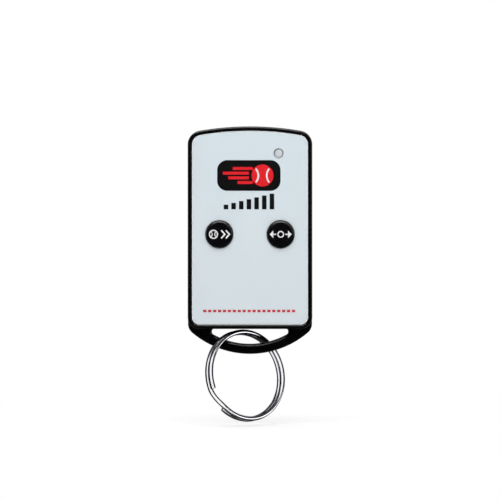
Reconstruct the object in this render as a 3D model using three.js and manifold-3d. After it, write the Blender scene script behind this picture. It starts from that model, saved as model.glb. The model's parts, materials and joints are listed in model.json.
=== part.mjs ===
// Hand-held two-button remote control for a tennis ball machine, on a split key ring.
// Millimetres. X runs to the right as the front is seen, the front faces -Y, and +Z runs to the top end.
// The origin is the centre of the flat back face. A "depth" is a distance forward from the back face.
import * as THREE from "three";
import { mergeVertices } from "three/addons/utils/BufferGeometryUtils.js";
import Module from "manifold-3d";

const wasm = await Module();
wasm.setup();

// Case outline, seen from the front
const HALF_WIDTH = 18.7;
const TOP = 30.4;
const BOTTOM = -30.4;
const TOP_ARC_RADIUS = 90;
const TOP_CORNER_RADIUS = 4.2;
const BOTTOM_CORNER_RADIUS = 3.6;
const LEAST_CORNER_RADIUS = 0.8;

// Case depths
const CASE_DEPTH = 13;
const PARTING_DEPTH = 7.2;
const PARTING_GAP = 0.1;
const WALL = 1.5;
const BACK_WALL = 1.4;
const DECK_BACK = 10.9;
const DECK_FRONT = 12.2;
const BACK_EDGE = 1.6;
const RIM_EDGE = 0.6;
const RIM_WIDTH = 1.3;

// Tongue of the rear shell, which seats in a rebate of the front shell
const TONGUE_OUTER_INSET = 0.85;
const TONGUE_HEIGHT = 0.9;
const TONGUE_CLEARANCE = 0.1;

// Key-ring tab: an arched bar below the case, around a slot. The ring swings about the bar's middle
const TAB_THICKNESS = 5.4;
const TAB_EDGE = 0.6;
const TAB_ARC = { radius: 27, centreZ: -11 };
const TAB_CORNER_RADIUS = 3.6;
const TAB_ROOT = -24;
const SLOT_ARC = { radius: 23.1, centreZ: -11.94 };
const SLOT_HALF_LENGTH = 11.5;
const SLOT_CORNER_RADIUS = 0.8;

// Front plate
const PLATE_CLEARANCE = 0.05;
const PLATE_BACK = 12.25;
const PLATE_FRONT = 12.65;

// Buttons and their switches
const BUTTON_X = 9.2;
const BUTTON_Z = -2;
const BUTTON_RADIUS = 4.1;
const BUTTON_FRONT = 13.5;
const BUTTON_EDGE = 0.45;
const BUTTON_HOLE_CLEARANCE = 0.15;
const BUTTON_FLANGE_RADIUS = 5;
const BUTTON_FLANGE_BACK = 9.8;
const BUTTON_FLANGE_FRONT = 10.8;
const SWITCH_SIZE = 6;
const SWITCH_FRONT = 9.1;
const PLUNGER_RADIUS = 1.7;
const PLUNGER_BACK = 8.6;
const PLUNGER_FRONT = 9.7;
const PLUNGER_POCKET_BACK = 8.1;
const PLUNGER_CLEARANCE = 0.1;

// Indicator lamp
const LAMP_X = 8.55;
const LAMP_Z = 22.3;
const LAMP_RADIUS = 1.45;
const LAMP_FLANGE_RADIUS = 1.9;
const LAMP_BACK = 7.5;
const LAMP_FLANGE_FRONT = 8.4;
const LAMP_FRONT = 12.8;
const LAMP_HOLE_RADIUS = 1.55;
const LEAD_SPACING = 2.54;
const LEAD_WIDTH = 0.45;
const LEAD_BACK = 5;
const LEAD_HOLE_RADIUS = 0.45;

// Circuit board
const BOARD = { halfWidth: 15.8, bottom: -21.5, top: 24.8, corner: 1.6 };
const BOARD_BACK = 5.6;
const BOARD_FRONT = 6.6;
const SEAT = 0.05;
const ON_BOARD = BOARD_FRONT + SEAT;
const BOARD_POSTS = [[-13.6, -19.2], [13.6, -19.2], [-13.6, 21.6], [13.6, 21.6]];
const BOARD_POST_RADIUS = 1.2;

// Coin cell and its contacts
const CELL_Z = -8.4;
const CELL_RADIUS = 10;
const CELL_BACK = 1.95;
const CELL_FRONT = 5.15;
const CELL_EDGE = 0.3;
const CLIP_WIDTH = 7;
const CLIP_THICKNESS = 0.3;
const CLIP_BACK = 1.5;
const CLIP_HALF_SPAN = 10.9;
const CONTACT_RADIUS = 4;
const CONTACT_BACK = 5.25;
const CONTACT_FRONT = 5.5;

// Case screws
const SCREW_X = 13.6;
const SCREW_Z = -25.2;
const SCREW_HEAD_RADIUS = 1.9;
const SCREW_HEAD_BACK = 0.3;
const SCREW_HEAD_FRONT = 1.65;
const SCREW_SHANK_RADIUS = 0.9;
const SCREW_TIP = 9.6;
const SCREW_CROSS = { length: 2.2, width: 0.5, depth: 0.7 };
const REAR_BOSS_RADIUS = 2.8;
const REAR_BOSS_FRONT = 6;
const COUNTERBORE_RADIUS = 2.05;
const COUNTERBORE_FRONT = 1.75;
const CLEARANCE_HOLE_RADIUS = 1.1;
const FRONT_BOSS_RADIUS = 2.1;
const FRONT_BOSS_BACK = 6.2;
const PILOT_HOLE_RADIUS = 1;
const PILOT_HOLE_FRONT = 10.2;

// Blank label on the back, in a shallow recess above the centre
const LABEL = { halfWidth: 12.5, bottom: 7, top: 25, corner: 1 };
const LABEL_RECESS = 0.3;
const LABEL_BACK = 0.1;
const LABEL_CLEARANCE = 0.1;

// Split ring: two turns of round wire, one behind the other, that cross over between the two ends
const RING_CENTRE = new THREE.Vector3(-1.4, -9.3, -44.5);
const RING_YAW = THREE.MathUtils.degToRad(35.4);
const RING_LEAN = THREE.MathUtils.degToRad(-10);
const RING_MID_RADIUS = 13.15;
const WIRE_RADIUS = 0.75;
const WIRE_SIDES = 12;
const STRAND_PITCH = 1.65;
const RING_TURNS = 720;
const RING_START = 196.5;
const CROSSOVER = 30.5;
const RING_STEPS = 96;

// Components on the front of the board, each a plain block
const BLOCKS = [
  { name: "encoder_chip", width: 10.3, height: 7.5, thickness: 2.2, x: -5.5, z: 12 },
  { name: "transmitter_chip", width: 3, height: 1.6, thickness: 1.1, x: 1, z: 4.6 },
  { name: "led_resistor", width: 1.25, height: 2, thickness: 0.6, x: 3.4, z: 21.9 },
  { name: "supply_capacitor", width: 2, height: 1.25, thickness: 0.9, x: -9, z: -10 },
  { name: "tuning_capacitor", width: 1.25, height: 2, thickness: 0.9, x: 1, z: 8 },
  { name: "coupling_capacitor", width: 2, height: 1.25, thickness: 0.9, x: 1, z: -2 },
];
const CAN = { x: 8.6, z: 11.6, radius: 4.1, flangeRadius: 4.6, flange: 0.4, height: 3.2, edge: 0.4 };
const ANTENNA = { left: -15, right: 4.5, bottom: 2, top: 19.4, width: 1.2, thickness: 0.15 };

// Mesh fineness
const CURVE_STEPS = 4;
const EDGE_STEPS = 3;
const ROUND_STEPS = 32;
const SMALL_ROUND_STEPS = 16;
const WELD = 1e-4;

const HALF_TURN = Math.PI;
const QUARTER_TURN = Math.PI / 2;

// ---- Solids and booleans ----

function solidFrom(geometry) {
  const bare = geometry.clone();
  bare.deleteAttribute("normal");
  bare.deleteAttribute("uv");
  const merged = mergeVertices(bare, WELD);
  const mesh = new wasm.Mesh({
    numProp: 3,
    vertProperties: merged.getAttribute("position").array,
    triVerts: new Uint32Array(merged.index.array),
  });
  return new wasm.Manifold(mesh);
}

function geometryFrom(solid) {
  const mesh = solid.getMesh();
  const geometry = new THREE.BufferGeometry();
  geometry.setAttribute("position", new THREE.BufferAttribute(mesh.vertProperties, 3));
  geometry.setIndex(new THREE.BufferAttribute(mesh.triVerts, 1));
  geometry.computeVertexNormals();
  return geometry;
}

function joined(geometries) {
  return geometries.map(solidFrom).reduce((whole, part) => whole.add(part));
}

function cut(solid, geometries) {
  return geometries.map(solidFrom).reduce((rest, tool) => rest.subtract(tool), solid);
}

// A flat shape, drawn in X and Z, made solid between two depths. An edge size rounds both rims.
function slab(shape, back, front, edge = 0) {
  const geometry = new THREE.ExtrudeGeometry(shape, {
    depth: front - back - 2 * edge,
    bevelEnabled: edge > 0,
    bevelThickness: edge,
    bevelSize: edge,
    bevelOffset: -edge,
    bevelSegments: EDGE_STEPS,
    curveSegments: CURVE_STEPS,
  });
  geometry.translate(0, 0, back + edge);
  geometry.rotateX(QUARTER_TURN);
  return geometry;
}

function block(width, height, back, front, x = 0, z = 0) {
  const geometry = new THREE.BoxGeometry(width, front - back, height);
  return geometry.translate(x, -(back + front) / 2, z);
}

function disc(radius, back, front, x = 0, z = 0, steps = SMALL_ROUND_STEPS) {
  const geometry = new THREE.CylinderGeometry(radius, radius, front - back, steps);
  return geometry.translate(x, -(back + front) / 2, z);
}

// A turned piece: its profile runs from the axis at the front to the axis at the back, as [radius, depth].
function turned(profile, x, z, steps = ROUND_STEPS) {
  const points = profile.map(([radius, depth]) => new THREE.Vector2(radius, -depth));
  return new THREE.LatheGeometry(points, steps).translate(x, 0, z);
}

// Points on a quarter of a round edge, from its front to its side.
function roundEdge(sideRadius, front, edge) {
  const points = [];
  for (let step = 0; step <= EDGE_STEPS; step++) {
    const angle = (QUARTER_TURN * step) / EDGE_STEPS;
    const radius = sideRadius - edge + edge * Math.sin(angle);
    points.push([radius, front - edge + edge * Math.cos(angle)]);
  }
  return points;
}

// ---- Outlines ----

// The case outline moved inwards by an inset: straight sides, an arched top and four round corners.
function caseShape(inset = 0) {
  const side = HALF_WIDTH - inset;
  const bottom = BOTTOM + inset;
  const arcRadius = TOP_ARC_RADIUS - inset;
  const arcCentre = TOP - TOP_ARC_RADIUS;
  const topRadius = Math.max(TOP_CORNER_RADIUS - inset, LEAST_CORNER_RADIUS);
  const lowRadius = Math.max(BOTTOM_CORNER_RADIUS - inset, LEAST_CORNER_RADIUS);
  const cornerX = side - topRadius;
  const cornerZ = arcCentre + Math.sqrt((arcRadius - topRadius) ** 2 - cornerX ** 2);
  const tangent = Math.atan2(cornerZ - arcCentre, cornerX);
  const shape = new THREE.Shape();
  shape.moveTo(side, bottom + lowRadius);
  shape.lineTo(side, cornerZ);
  shape.absarc(cornerX, cornerZ, topRadius, 0, tangent);
  shape.absarc(0, arcCentre, arcRadius, tangent, HALF_TURN - tangent);
  shape.absarc(-cornerX, cornerZ, topRadius, HALF_TURN - tangent, HALF_TURN);
  shape.lineTo(-side, bottom + lowRadius);
  shape.absarc(lowRadius - side, bottom + lowRadius, lowRadius, HALF_TURN, HALF_TURN + QUARTER_TURN);
  shape.lineTo(side - lowRadius, bottom);
  shape.absarc(side - lowRadius, bottom + lowRadius, lowRadius, -QUARTER_TURN, 0);
  return shape;
}

// The tab's outline: the case sides carried down into a wide arc, with the slot as a hole.
function tabShape() {
  const cornerX = HALF_WIDTH - TAB_CORNER_RADIUS;
  const drop = Math.sqrt((TAB_ARC.radius - TAB_CORNER_RADIUS) ** 2 - cornerX ** 2);
  const cornerZ = TAB_ARC.centreZ - drop;
  const tangent = Math.atan2(drop, cornerX);
  const shape = new THREE.Shape();
  shape.moveTo(HALF_WIDTH, TAB_ROOT);
  shape.lineTo(-HALF_WIDTH, TAB_ROOT);
  shape.lineTo(-HALF_WIDTH, cornerZ);
  shape.absarc(-cornerX, cornerZ, TAB_CORNER_RADIUS, HALF_TURN, HALF_TURN + tangent);
  shape.absarc(0, TAB_ARC.centreZ, TAB_ARC.radius, HALF_TURN + tangent, 2 * HALF_TURN - tangent);
  shape.absarc(cornerX, cornerZ, TAB_CORNER_RADIUS, -tangent, 0);
  shape.holes.push(slotPath());
  return shape;
}

// The slot: a straight top edge against the case, round ends and an arched lower edge.
function slotPath() {
  const endX = SLOT_HALF_LENGTH - SLOT_CORNER_RADIUS;
  const upperZ = BOTTOM - SLOT_CORNER_RADIUS;
  const drop = Math.sqrt((SLOT_ARC.radius - SLOT_CORNER_RADIUS) ** 2 - endX ** 2);
  const lowerZ = SLOT_ARC.centreZ - drop;
  const tangent = Math.atan2(drop, endX);
  const path = new THREE.Path();
  path.moveTo(-endX, BOTTOM);
  path.absarc(-endX, upperZ, SLOT_CORNER_RADIUS, QUARTER_TURN, HALF_TURN);
  path.absarc(-endX, lowerZ, SLOT_CORNER_RADIUS, HALF_TURN, HALF_TURN + tangent);
  path.absarc(0, SLOT_ARC.centreZ, SLOT_ARC.radius, HALF_TURN + tangent, 2 * HALF_TURN - tangent);
  path.absarc(endX, lowerZ, SLOT_CORNER_RADIUS, -tangent, 0);
  path.absarc(endX, upperZ, SLOT_CORNER_RADIUS, 0, QUARTER_TURN);
  path.lineTo(-endX, BOTTOM);
  return path;
}

function roundedRectangle({ halfWidth, bottom, top, corner }) {
  const shape = new THREE.Shape();
  const innerX = halfWidth - corner;
  shape.moveTo(halfWidth, bottom + corner);
  shape.absarc(innerX, top - corner, corner, 0, QUARTER_TURN);
  shape.absarc(-innerX, top - corner, corner, QUARTER_TURN, HALF_TURN);
  shape.absarc(-innerX, bottom + corner, corner, HALF_TURN, HALF_TURN + QUARTER_TURN);
  shape.absarc(innerX, bottom + corner, corner, -QUARTER_TURN, 0);
  return shape;
}

// ---- Case ----

const BEYOND = 1;
const sides = [-1, 1];

function tabPlate() {
  const middle = PARTING_DEPTH;
  return slab(tabShape(), middle - TAB_THICKNESS / 2, middle + TAB_THICKNESS / 2, TAB_EDGE);
}

// Everything between two depths, as wide as the case and its tab.
function layer(back, front) {
  return block(3 * HALF_WIDTH, 4 * TOP, back, front);
}

function frontShell() {
  const partingFace = PARTING_DEPTH + PARTING_GAP / 2;
  let shell = joined([slab(caseShape(), 0, CASE_DEPTH, RIM_EDGE), tabPlate()]);
  shell = cut(shell, [
    layer(-BEYOND, partingFace),
    slab(caseShape(WALL), partingFace - BEYOND, DECK_BACK),
    slab(
      caseShape(TONGUE_OUTER_INSET - TONGUE_CLEARANCE),
      partingFace - BEYOND,
      PARTING_DEPTH + TONGUE_HEIGHT + TONGUE_CLEARANCE,
    ),
    slab(caseShape(RIM_WIDTH - PLATE_CLEARANCE), DECK_FRONT, CASE_DEPTH + BEYOND),
  ]);
  const inDeck = DECK_BACK + WALL / 3;
  for (const side of sides) {
    const boss = disc(FRONT_BOSS_RADIUS, FRONT_BOSS_BACK, inDeck, side * SCREW_X, SCREW_Z);
    shell = shell.add(solidFrom(boss));
  }
  for (const [x, z] of BOARD_POSTS) {
    shell = shell.add(solidFrom(disc(BOARD_POST_RADIUS, ON_BOARD, inDeck, x, z)));
  }
  const throughDeck = [DECK_BACK - BEYOND, CASE_DEPTH + BEYOND];
  const buttonHole = BUTTON_RADIUS + BUTTON_HOLE_CLEARANCE;
  return cut(shell, [
    ...sides.map((side) => disc(buttonHole, ...throughDeck, side * BUTTON_X, BUTTON_Z, ROUND_STEPS)),
    ...sides.map((side) =>
      disc(PILOT_HOLE_RADIUS, FRONT_BOSS_BACK - BEYOND, PILOT_HOLE_FRONT, side * SCREW_X, SCREW_Z),
    ),
    disc(LAMP_HOLE_RADIUS, ...throughDeck, LAMP_X, LAMP_Z),
  ]);
}

function rearShell() {
  const partingFace = PARTING_DEPTH - PARTING_GAP / 2;
  let shell = joined([slab(caseShape(), 0, CASE_DEPTH, BACK_EDGE), tabPlate()]);
  shell = cut(shell, [layer(partingFace, CASE_DEPTH + BEYOND)]);
  shell = shell.add(
    solidFrom(slab(caseShape(TONGUE_OUTER_INSET), BACK_WALL + BEYOND, PARTING_DEPTH + TONGUE_HEIGHT)),
  );
  shell = cut(shell, [
    slab(caseShape(WALL), BACK_WALL, CASE_DEPTH),
    slab(roundedRectangle(LABEL), -BEYOND, LABEL_RECESS),
  ]);
  const inBack = BACK_WALL / 2;
  for (const side of sides) {
    const boss = disc(REAR_BOSS_RADIUS, inBack, REAR_BOSS_FRONT, side * SCREW_X, SCREW_Z);
    shell = shell.add(solidFrom(boss));
  }
  for (const [x, z] of BOARD_POSTS) {
    shell = shell.add(solidFrom(disc(BOARD_POST_RADIUS, inBack, BOARD_BACK - SEAT, x, z)));
  }
  return cut(shell, [
    ...sides.map((side) =>
      disc(COUNTERBORE_RADIUS, -BEYOND, COUNTERBORE_FRONT, side * SCREW_X, SCREW_Z, ROUND_STEPS),
    ),
    ...sides.map((side) =>
      disc(CLEARANCE_HOLE_RADIUS, 0, REAR_BOSS_FRONT + BEYOND, side * SCREW_X, SCREW_Z),
    ),
  ]);
}

function faceplate() {
  const plate = solidFrom(slab(caseShape(RIM_WIDTH), PLATE_BACK, PLATE_FRONT));
  const through = [PLATE_BACK - BEYOND, PLATE_FRONT + BEYOND];
  const buttonHole = BUTTON_RADIUS + BUTTON_HOLE_CLEARANCE;
  return cut(plate, [
    ...sides.map((side) => disc(buttonHole, ...through, side * BUTTON_X, BUTTON_Z, ROUND_STEPS)),
    disc(LAMP_HOLE_RADIUS, ...through, LAMP_X, LAMP_Z),
  ]);
}

function rearLabel() {
  const sheet = {
    halfWidth: LABEL.halfWidth - LABEL_CLEARANCE,
    bottom: LABEL.bottom + LABEL_CLEARANCE,
    top: LABEL.top - LABEL_CLEARANCE,
    corner: LABEL.corner,
  };
  return slab(roundedRectangle(sheet), LABEL_BACK, LABEL_RECESS - SEAT);
}

// A case screw: a flat head with a cross recess, and a shank that ends in a point.
function caseScrew(x) {
  const point = SCREW_TIP - SCREW_SHANK_RADIUS;
  const profile = [
    [0, SCREW_TIP],
    [SCREW_SHANK_RADIUS, point],
    [SCREW_SHANK_RADIUS, SCREW_HEAD_FRONT],
    [SCREW_HEAD_RADIUS, SCREW_HEAD_FRONT],
    [SCREW_HEAD_RADIUS, SCREW_HEAD_BACK],
    [0, SCREW_HEAD_BACK],
  ];
  const { length, width, depth } = SCREW_CROSS;
  const recess = [SCREW_HEAD_BACK - BEYOND, SCREW_HEAD_BACK + depth];
  return cut(solidFrom(turned(profile, x, SCREW_Z, SMALL_ROUND_STEPS)), [
    block(length, width, ...recess, x, SCREW_Z),
    block(width, length, ...recess, x, SCREW_Z),
  ]);
}

// ---- Buttons and switches ----

function button(x) {
  const profile = [
    [0, BUTTON_FRONT],
    ...roundEdge(BUTTON_RADIUS, BUTTON_FRONT, BUTTON_EDGE),
    [BUTTON_RADIUS, BUTTON_FLANGE_FRONT],
    [BUTTON_FLANGE_RADIUS, BUTTON_FLANGE_FRONT],
    [BUTTON_FLANGE_RADIUS, BUTTON_FLANGE_BACK],
    [0, BUTTON_FLANGE_BACK],
  ];
  return turned(profile, x, BUTTON_Z);
}

function switchBody(x) {
  const housing = block(SWITCH_SIZE, SWITCH_SIZE, ON_BOARD, SWITCH_FRONT, x, BUTTON_Z);
  const pocketRadius = PLUNGER_RADIUS + PLUNGER_CLEARANCE;
  const pocket = disc(pocketRadius, PLUNGER_POCKET_BACK, SWITCH_FRONT + BEYOND, x, BUTTON_Z);
  return cut(solidFrom(housing), [pocket]);
}

function switchPlunger(x) {
  return disc(PLUNGER_RADIUS, PLUNGER_BACK, PLUNGER_FRONT, x, BUTTON_Z);
}

// ---- Indicator lamp ----

function lampLens() {
  const dome = roundEdge(LAMP_RADIUS, LAMP_FRONT, LAMP_RADIUS);
  const profile = [
    ...dome,
    [LAMP_RADIUS, LAMP_FLANGE_FRONT],
    [LAMP_FLANGE_RADIUS, LAMP_FLANGE_FRONT],
    [LAMP_FLANGE_RADIUS, LAMP_BACK],
    [0, LAMP_BACK],
  ];
  return turned(profile, LAMP_X, LAMP_Z, SMALL_ROUND_STEPS);
}

function lampLead(side) {
  const x = LAMP_X + (side * LEAD_SPACING) / 2;
  return block(LEAD_WIDTH, LEAD_WIDTH, LEAD_BACK, LAMP_BACK - SEAT, x, LAMP_Z);
}

// ---- Electronics ----

function circuitBoard() {
  const board = solidFrom(slab(roundedRectangle(BOARD), BOARD_BACK, BOARD_FRONT));
  const through = [BOARD_BACK - BEYOND, BOARD_FRONT + BEYOND];
  const holes = sides.map((side) => LAMP_X + (side * LEAD_SPACING) / 2);
  return cut(board, holes.map((x) => disc(LEAD_HOLE_RADIUS, ...through, x, LAMP_Z)));
}

function coinCell() {
  const profile = [
    [0, CELL_FRONT],
    [CELL_RADIUS - CELL_EDGE, CELL_FRONT],
    [CELL_RADIUS, CELL_FRONT - CELL_EDGE],
    [CELL_RADIUS, CELL_BACK],
    [0, CELL_BACK],
  ];
  return turned(profile, 0, CELL_Z);
}

// A strip that crosses behind the cell and turns forward to the board at both ends.
function batteryClip() {
  const outer = CLIP_HALF_SPAN + CLIP_THICKNESS;
  const front = BOARD_BACK - SEAT;
  const strap = block(2 * outer, CLIP_WIDTH, CLIP_BACK, CLIP_BACK + CLIP_THICKNESS, 0, CELL_Z);
  const legs = sides.map((side) => {
    const x = side * (CLIP_HALF_SPAN + CLIP_THICKNESS / 2);
    return block(CLIP_THICKNESS, CLIP_WIDTH, CLIP_BACK, front, x, CELL_Z);
  });
  return joined([strap, ...legs]);
}

function batteryContact() {
  return disc(CONTACT_RADIUS, CONTACT_BACK, CONTACT_FRONT, 0, CELL_Z);
}

function resonatorCan() {
  const flangeFront = ON_BOARD + CAN.flange;
  const front = ON_BOARD + CAN.height;
  const profile = [
    [0, front],
    ...roundEdge(CAN.radius, front, CAN.edge),
    [CAN.radius, flangeFront],
    [CAN.flangeRadius, flangeFront],
    [CAN.flangeRadius, ON_BOARD],
    [0, ON_BOARD],
  ];
  return turned(profile, CAN.x, CAN.z, SMALL_ROUND_STEPS);
}

// A copper strip that runs up one edge of the board and across its top.
function loopAntenna() {
  const { left, right, bottom, top, width, thickness } = ANTENNA;
  const corners = [
    [left, bottom],
    [left + width, bottom],
    [left + width, top - width],
    [right, top - width],
    [right, top],
    [left, top],
  ];
  const shape = new THREE.Shape(corners.map(([x, z]) => new THREE.Vector2(x, z)));
  return slab(shape, ON_BOARD, ON_BOARD + thickness);
}

// ---- Split ring ----

// The wire's centre line, drawn facing the front around the ring's own centre.
class RingPath extends THREE.Curve {
  getPoint(t, target = new THREE.Vector3()) {
    const turn = t * (RING_TURNS - CROSSOVER);
    const angle = THREE.MathUtils.degToRad(RING_START - turn);
    const crossed = THREE.MathUtils.smoothstep(turn, RING_TURNS / 2 - CROSSOVER, RING_TURNS / 2);
    const forward = STRAND_PITCH * (0.5 - crossed);
    return target.set(RING_MID_RADIUS * Math.cos(angle), -forward, RING_MID_RADIUS * Math.sin(angle));
  }
}

// The wire's section: a polygon that stays inside the round wire.
function wireSection() {
  const corners = Array.from({ length: WIRE_SIDES }, (_, index) => {
    const angle = (index + 0.5) * ((2 * Math.PI) / WIRE_SIDES);
    return new THREE.Vector2(WIRE_RADIUS * Math.cos(angle), WIRE_RADIUS * Math.sin(angle));
  });
  return new THREE.Shape(corners);
}

function splitRing() {
  return new THREE.ExtrudeGeometry(wireSection(), {
    steps: RING_STEPS,
    extrudePath: new RingPath(),
  });
}

// ---- Materials ----

function material(color, roughness, metalness = 0) {
  return new THREE.MeshStandardMaterial({ color, roughness, metalness });
}

const blackPlastic = material(0x0b0b0e, 0.45);
const buttonPlastic = material(0x08080a, 0.25);
const plateFilm = material(0xd5e0e5, 0.4);
const clearResin = material(0xd8dde2, 0.15);
const boardLaminate = material(0x1d5a35, 0.5);
const chipPlastic = material(0x1b1b1e, 0.6);
const ceramic = material(0xb59a74, 0.5);
const labelPaper = material(0xe8e8e4, 0.7);
const copper = material(0xb87340, 0.35, 1);
const tinned = material(0xc4c6c9, 0.35, 1);
const springSteel = material(0xb8babd, 0.3, 1);
const nickel = material(0xd0d0d6, 0.15, 1);

// ---- Assembly ----

const remote = new THREE.Group();

function place(name, piece, look) {
  const geometry = piece.isBufferGeometry ? piece : geometryFrom(piece);
  const mesh = new THREE.Mesh(geometry, look);
  mesh.name = name;
  remote.add(mesh);
  return mesh;
}

place("front_shell", frontShell(), blackPlastic);
place("rear_shell", rearShell(), blackPlastic);
place("faceplate", faceplate(), plateFilm);
place("rear_label", rearLabel(), labelPaper);
place("case_screw_left", caseScrew(-SCREW_X), springSteel);
place("case_screw_right", caseScrew(SCREW_X), springSteel);

const controls = [["feed", -BUTTON_X], ["sweep", BUTTON_X]];
for (const [name, x] of controls) {
  place(`${name}_button`, button(x), buttonPlastic);
  place(`${name}_switch_body`, switchBody(x), chipPlastic);
  place(`${name}_switch_plunger`, switchPlunger(x), buttonPlastic);
}

place("led_lens", lampLens(), clearResin);
place("led_anode_lead", lampLead(1), tinned);
place("led_cathode_lead", lampLead(-1), tinned);

place("circuit_board", circuitBoard(), boardLaminate);
place("coin_cell", coinCell(), springSteel);
place("battery_clip", batteryClip(), springSteel);
place("battery_contact", batteryContact(), tinned);
place("loop_antenna", loopAntenna(), copper);
place("resonator_can", resonatorCan(), tinned);
for (const { name, width, height, thickness, x, z } of BLOCKS) {
  const look = name.endsWith("chip") ? chipPlastic : ceramic;
  place(name, block(width, height, ON_BOARD, ON_BOARD + thickness, x, z), look);
}

const ring = place("split_ring", splitRing(), nickel);
ring.rotation.order = "ZYX";
ring.rotation.set(RING_LEAN, 0, RING_YAW);
ring.position.copy(RING_CENTRE);

export default remote;
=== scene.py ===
"""Hand-held remote control of a tennis ball machine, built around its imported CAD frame."""
import json
import math
import bmesh
import bpy
from mathutils import Matrix, Vector


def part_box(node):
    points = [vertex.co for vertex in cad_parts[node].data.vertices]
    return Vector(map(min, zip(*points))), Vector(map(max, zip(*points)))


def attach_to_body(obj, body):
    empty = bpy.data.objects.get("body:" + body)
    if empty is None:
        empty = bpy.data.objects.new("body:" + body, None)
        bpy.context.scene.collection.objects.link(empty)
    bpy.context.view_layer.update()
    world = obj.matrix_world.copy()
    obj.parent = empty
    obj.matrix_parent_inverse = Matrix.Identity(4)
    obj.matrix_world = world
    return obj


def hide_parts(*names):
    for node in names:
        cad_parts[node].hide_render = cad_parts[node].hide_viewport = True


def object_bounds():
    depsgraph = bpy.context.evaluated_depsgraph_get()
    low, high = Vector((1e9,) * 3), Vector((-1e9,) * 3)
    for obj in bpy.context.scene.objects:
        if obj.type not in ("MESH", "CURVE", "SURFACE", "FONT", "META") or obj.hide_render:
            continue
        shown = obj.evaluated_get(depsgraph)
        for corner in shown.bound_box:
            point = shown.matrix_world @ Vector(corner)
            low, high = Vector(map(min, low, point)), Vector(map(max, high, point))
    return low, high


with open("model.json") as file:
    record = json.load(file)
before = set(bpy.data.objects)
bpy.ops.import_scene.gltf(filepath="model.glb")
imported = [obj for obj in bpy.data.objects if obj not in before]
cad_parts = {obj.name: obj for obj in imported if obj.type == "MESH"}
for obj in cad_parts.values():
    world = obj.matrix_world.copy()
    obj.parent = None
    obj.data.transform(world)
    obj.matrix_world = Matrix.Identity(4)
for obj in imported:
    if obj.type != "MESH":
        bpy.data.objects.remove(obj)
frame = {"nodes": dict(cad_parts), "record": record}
cad_low, cad_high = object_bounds()

# Sizes are in millimetres. A depth is a distance forward from the back face, the plane y = 0.
MM = 0.001


def corners(node):
    """Lowest and highest corner of a CAD node in millimetres."""
    low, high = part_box(node)
    return low / MM, high / MM


def centre_of(node):
    """A CAD node's middle as (x, z)."""
    low, high = corners(node)
    return (low.x + high.x) / 2, (low.z + high.z) / 2


# ---- Sizes from the frame ----
shell_low, shell_high = corners("front_shell")
plate_low, plate_high = corners("faceplate")
rear_low, _ = corners("rear_shell")
label_low, label_high = corners("rear_label")
lamp_low, lamp_high = corners("led_lens")
button_low, button_high = corners("feed_button")

HALF_WIDTH = shell_high.x
TOP = shell_high.z
CREST = -shell_low.y
TONGUE_FRONT = -rear_low.y
PLATE_BACK = -plate_high.y
PLATE_FRONT = -plate_low.y
RIM_WIDTH = HALF_WIDTH - plate_high.x
CASE_BOTTOM = plate_low.z - RIM_WIDTH
TAB_BOTTOM = shell_low.z
LAMP_X, LAMP_Z = centre_of("led_lens")
LAMP_FRONT = -lamp_low.y
LAMP_BACK = -lamp_high.y
LAMP_FLANGE_RADIUS = (lamp_high.x - lamp_low.x) / 2
BUTTON_CENTRES = {name: centre_of(name) for name in ("feed_button", "sweep_button")}
BUTTON_FRONT = -button_low.y
BUTTON_BACK = -button_high.y
BUTTON_FLANGE_RADIUS = (button_high.x - button_low.x) / 2

# ---- Case ----
PARTING_GAP = 0.1
TONGUE_HEIGHT = 0.9
PARTING = TONGUE_FRONT - TONGUE_HEIGHT
FRONT_PARTING = PARTING + PARTING_GAP / 2
REAR_PARTING = PARTING - PARTING_GAP / 2
PARTING_EDGE = 0.12
TOP_ARC_RADIUS = 90
TOP_CORNER = 4.2
BOTTOM_CORNER = 3.6
LEAST_CORNER = 0.8
WALL = 1.5
BACK_WALL = 1.4
DECK_BACK = 10.9
SEAT = 0.05
DECK_FRONT = PLATE_BACK - SEAT
BACK_EDGE = 1.6
BEAD_HALF_WIDTH = 0.62
BEAD_OUTER_DROP = 0.62
BEAD_INNER_DROP = 0.36
TONGUE_INSET = 0.85
REBATE_INSET = 0.75
TONGUE_CLEARANCE = 0.1
TONGUE_EDGE = 0.1
REBATE_FRONT = TONGUE_FRONT + TONGUE_CLEARANCE

# ---- Key-ring tab ----
TAB_THICKNESS = 5.4
TAB_FRONT = PARTING + TAB_THICKNESS / 2
TAB_BACK = PARTING - TAB_THICKNESS / 2
TAB_EDGE = 0.6
SLOT_EDGE_WIDTH = 1.1
SLOT_EDGE_DROP = 0.7
TAB_ARC_RADIUS = 27
TAB_CORNER = 3.6
TAB_ROOT = -24
TAB_SIDE_STEP = 0.015
SLOT_ARC_RADIUS = 23.1
SLOT_ARC_Z = -11.94
SLOT_HALF_LENGTH = 11.5
SLOT_CORNER = 0.8

# ---- Posts, bosses and screws inside the case ----
SCREW_PLACES = [(-13.6, -25.2), (13.6, -25.2)]
REAR_BOSS_RADIUS = 2.8
REAR_BOSS_FRONT = 6
FRONT_BOSS_RADIUS = 2.1
FRONT_BOSS_BACK = 6.2
COUNTERBORE_RADIUS = 2.05
COUNTERBORE_FRONT = 1.75
COUNTERBORE_EDGE = 0.2
CLEARANCE_HOLE_RADIUS = 1.1
PILOT_HOLE_RADIUS = 1
PILOT_HOLE_FRONT = 10.2
BOARD_POSTS = [(-13.6, -19.2), (13.6, -19.2), (-13.6, 21.6), (13.6, 21.6)]
BOARD_POST_RADIUS = 1.2
BOARD_BACK = 5.6
BOARD_FRONT = 6.6

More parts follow.
